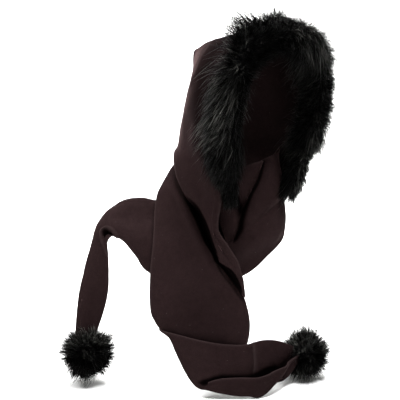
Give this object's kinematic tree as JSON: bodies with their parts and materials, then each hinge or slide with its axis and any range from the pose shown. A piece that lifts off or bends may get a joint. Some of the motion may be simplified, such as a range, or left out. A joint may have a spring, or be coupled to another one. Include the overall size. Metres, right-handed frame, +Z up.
{
  "type": "fur-trimmed fleece hood with scarf tails",
  "caption": "Soft fleece hood whose long scarf tails wrap the neck and shoulder, with a deep black fur trim round the face and a fur pompom on each tail.",
  "frame": {"origin": "where the top of the head meets the inside of the crown, on the hood's middle plane", "axes": "the wearer faces -Y, +Z is up, and the wearer's right side is -X"},
  "size_m": [0.4092, 0.3164, 0.6173],
  "materials": {
    "fleece": "matt napped fleece, dark aubergine brown",
    "fur": "long soft black faux fur with a slight sheen"
  },
  "bodies": {
    "root": {"hood_shell": "fleece", "right_tail": "fleece", "left_tail": "fleece", "fur_trim": "fur", "right_pompom": "fur", "left_pompom": "fur"}
  },
  "joints": []
}
